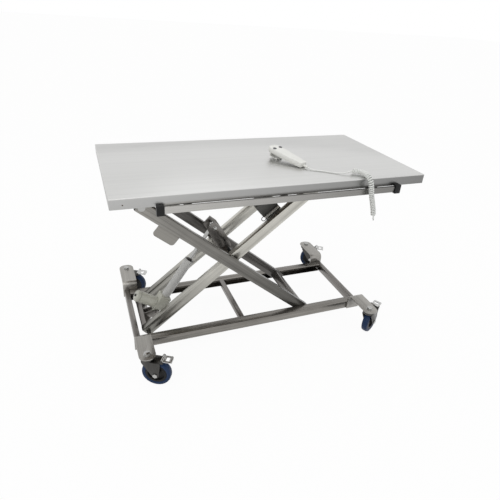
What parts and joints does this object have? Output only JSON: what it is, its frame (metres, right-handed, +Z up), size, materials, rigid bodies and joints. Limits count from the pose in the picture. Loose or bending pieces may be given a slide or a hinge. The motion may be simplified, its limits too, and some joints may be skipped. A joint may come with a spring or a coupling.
{
  "type": "veterinary examination table",
  "caption": "Stainless veterinary examination table with a folded steel top, electric scissor lift on a frame of tubes, side accessory rail, corded handset and braked swivel castors.",
  "frame": {"origin": "centre of the footprint, on the floor under the castors", "axes": "X along the table, Y across it away from the side with the accessory rail, Z up"},
  "size_m": [1.3, 0.7842, 0.881],
  "materials": {
    "sheet_steel": "satin, fine long grain",
    "tube_steel": "brushed along the tube, warm grey",
    "bright_steel": "bright, fine brushed",
    "actuator_grey": "painted beige grey, fine matt",
    "box_grey": "dark grey moulded",
    "black_plastic": "fine matt moulded",
    "blue_tyre": "navy blue, soft sheen",
    "hub_black": "satin moulded",
    "board": "sealed ply, hidden",
    "handset_white": "off white, fine moulded",
    "button_grey": "soft dark grey",
    "cord_white": "off white, soft sheen"
  },
  "bodies": {
    "base": {"base_rail_front": "tube_steel", "base_rail_back": "tube_steel", "base_end_rail_left": "tube_steel", "base_end_rail_right": "tube_steel", "base_cross_tube": "tube_steel", "base_pivot_shaft": "bright_steel", "castor_bracket_front_left": "tube_steel", "castor_bracket_front_right": "tube_steel", "castor_bracket_back_left": "tube_steel", "castor_bracket_back_right": "tube_steel"},
    "inner_arms": {"inner_arm_front": "tube_steel", "inner_arm_back": "tube_steel", "inner_lower_tube": "tube_steel", "control_box": "box_grey"},
    "outer_arms": {"outer_arm_front": "tube_steel", "outer_arm_back": "tube_steel", "outer_lower_tube": "tube_steel", "centre_tube": "tube_steel", "bare_plate": "sheet_steel"},
    "actuator_body": {"actuator_housing": "actuator_grey", "actuator_tube": "actuator_grey"},
    "actuator_rod": {"actuator_rod": "bright_steel"},
    "top": {"top_channel_front": "tube_steel", "top_channel_back": "tube_steel", "bearer_middle": "tube_steel", "bearer_right": "tube_steel", "bearer_pivot": "tube_steel", "top_pivot_shaft": "bright_steel", "core_board": "board", "tray": "sheet_steel", "accessory_rail": "bright_steel", "rail_cap_left": "black_plastic", "rail_cap_right": "black_plastic", "cord_socket": "black_plastic", "handset": "handset_white", "cord_lead": "cord_white", "cord_curl": "cord_white", "cord_tail": "cord_white"},
    "upper_roller_front": {"upper_roller_front": "black_plastic"},
    "lower_roller_front": {"lower_roller_front": "black_plastic"},
    "upper_roller_back": {"upper_roller_back": "black_plastic"},
    "lower_roller_back": {"lower_roller_back": "black_plastic"},
    "fork_front_left": {"castor_fork_front_left": "bright_steel"},
    "wheel_front_left": {"castor_tyre_front_left": "blue_tyre", "castor_hub_front_left": "hub_black"},
    "pedal_front_left": {"brake_pedal_front_left": "bright_steel"},
    "fork_front_right": {"castor_fork_front_right": "bright_steel"},
    "wheel_front_right": {"castor_tyre_front_right": "blue_tyre", "castor_hub_front_right": "hub_black"},
    "pedal_front_right": {"brake_pedal_front_right": "bright_steel"},
    "fork_back_left": {"castor_fork_back_left": "bright_steel"},
    "wheel_back_left": {"castor_tyre_back_left": "blue_tyre", "castor_hub_back_left": "hub_black"},
    "pedal_back_left": {"brake_pedal_back_left": "bright_steel"},
    "fork_back_right": {"castor_fork_back_right": "bright_steel"},
    "wheel_back_right": {"castor_tyre_back_right": "blue_tyre", "castor_hub_back_right": "hub_black"},
    "pedal_back_right": {"brake_pedal_back_right": "bright_steel"},
    "button_up": {"handset_button_up": "button_grey"},
    "button_down": {"handset_button_down": "button_grey"}
  },
  "joints": [
    {"name": "lift", "type": "hinge", "parent": "base", "child": "inner_arms", "pos_m": [-0.525, 0.012, 0.085], "axis": [0, -1, 0], "range_deg": [-25, 4.5]},
    {"name": "scissor_centre", "type": "hinge", "parent": "inner_arms", "child": "outer_arms", "pos_m": [-0.13808, 0.012, 0.40169], "axis": [0, -1, 0], "range_deg": [-9, 50]},
    {"name": "top_pivot", "type": "hinge", "parent": "outer_arms", "child": "top", "pos_m": [-0.525, 0.012, 0.71838], "axis": [0, -1, 0], "range_deg": [-25, 4.5]},
    {"name": "actuator_tail", "type": "hinge", "parent": "inner_arms", "child": "actuator_body", "pos_m": [-0.47249, 0.012, 0.10136], "axis": [0, -1, 0], "range_deg": [-0.7, 3.6]},
    {"name": "actuator_head", "type": "hinge", "parent": "outer_arms", "child": "actuator_rod", "pos_m": [-0.19223, 0.012, 0.52846], "axis": [0, -1, 0], "range_deg": [-46.5, 8.4]},
    {"name": "upper_roller_front_spin", "type": "hinge", "parent": "inner_arms", "child": "upper_roller_front", "pos_m": [0.24884, -0.0574, 0.71838], "axis": [0, 1, 0], "continuous": true},
    {"name": "lower_roller_front_spin", "type": "hinge", "parent": "outer_arms", "child": "lower_roller_front", "pos_m": [0.24884, -0.1708, 0.085], "axis": [0, 1, 0], "continuous": true},
    {"name": "upper_roller_back_spin", "type": "hinge", "parent": "inner_arms", "child": "upper_roller_back", "pos_m": [0.24884, 0.0814, 0.71838], "axis": [0, 1, 0], "continuous": true},
    {"name": "lower_roller_back_spin", "type": "hinge", "parent": "outer_arms", "child": "lower_roller_back", "pos_m": [0.24884, 0.1948, 0.085], "axis": [0, 1, 0], "continuous": true},
    {"name": "swivel_front_left", "type": "hinge", "parent": "base", "child": "fork_front_left", "pos_m": [-0.563, -0.329, 0.13], "axis": [0, 0, 1], "continuous": true},
    {"name": "wheel_front_left_spin", "type": "hinge", "parent": "fork_front_left", "child": "wheel_front_left", "pos_m": [-0.52976, -0.34742, 0.0625], "axis": [0.4848, 0.8746, 0], "continuous": true},
    {"name": "pedal_front_left_press", "type": "hinge", "parent": "fork_front_left", "child": "pedal_front_left", "pos_m": [-0.50528, -0.361, 0.138], "axis": [0.4848, 0.8746, 0], "range_deg": [0, 15]},
    {"name": "swivel_front_right", "type": "hinge", "parent": "base", "child": "fork_front_right", "pos_m": [0.519, -0.329, 0.13], "axis": [0, 0, 1], "continuous": true},
    {"name": "wheel_front_right_spin", "type": "hinge", "parent": "fork_front_right", "child": "wheel_front_right", "pos_m": [0.55191, -0.31, 0.0625], "axis": [-0.5, 0.866, 0], "continuous": true},
    {"name": "pedal_front_right_press", "type": "hinge", "parent": "fork_front_right", "child": "pedal_front_right", "pos_m": [0.57616, -0.296, 0.138], "axis": [-0.5, 0.866, 0], "range_deg": [0, 15]},
    {"name": "swivel_back_left", "type": "hinge", "parent": "base", "child": "fork_back_left", "pos_m": [-0.563, 0.353, 0.13], "axis": [0, 0, 1], "continuous": true},
    {"name": "wheel_back_left_spin", "type": "hinge", "parent": "fork_back_left", "child": "wheel_back_left", "pos_m": [-0.52945, 0.33516, 0.0625], "axis": [0.4695, 0.8829, 0], "continuous": true},
    {"name": "pedal_back_left_press", "type": "hinge", "parent": "fork_back_left", "child": "pedal_back_left", "pos_m": [-0.50472, 0.32201, 0.138], "axis": [0.4695, 0.8829, 0], "range_deg": [0, 15]},
    {"name": "swivel_back_right", "type": "hinge", "parent": "base", "child": "fork_back_right", "pos_m": [0.519, 0.353, 0.13], "axis": [0, 0, 1], "continuous": true},
    {"name": "wheel_back_right_spin", "type": "hinge", "parent": "fork_back_right", "child": "wheel_back_right", "pos_m": [0.55123, 0.33286, 0.0625], "axis": [0.5299, 0.848, 0], "continuous": true},
    {"name": "pedal_back_right_press", "type": "hinge", "parent": "fork_back_right", "child": "pedal_back_right", "pos_m": [0.57497, 0.31803, 0.138], "axis": [0.5299, 0.848, 0], "range_deg": [0, 15]},
    {"name": "button_up_press", "type": "slide", "parent": "top", "child": "button_up", "axis": [-0.0571, 0.1338, -0.9894], "range_m": [0, 0.0012], "stiffness_N_per_m": 400},
    {"name": "button_down_press", "type": "slide", "parent": "top", "child": "button_down", "axis": [-0.0571, 0.1338, -0.9894], "range_m": [0, 0.0012], "stiffness_N_per_m": 400}
  ],
  "couplings": [
    {"joint": "scissor_centre", "follows": "lift", "ratio": -2},
    {"joint": "top_pivot", "follows": "lift", "ratio": 1},
    {"joint": "actuator_tail", "follows": "lift", "ratio": -0.143},
    {"joint": "actuator_head", "follows": "lift", "ratio": 1.857}
  ]
}
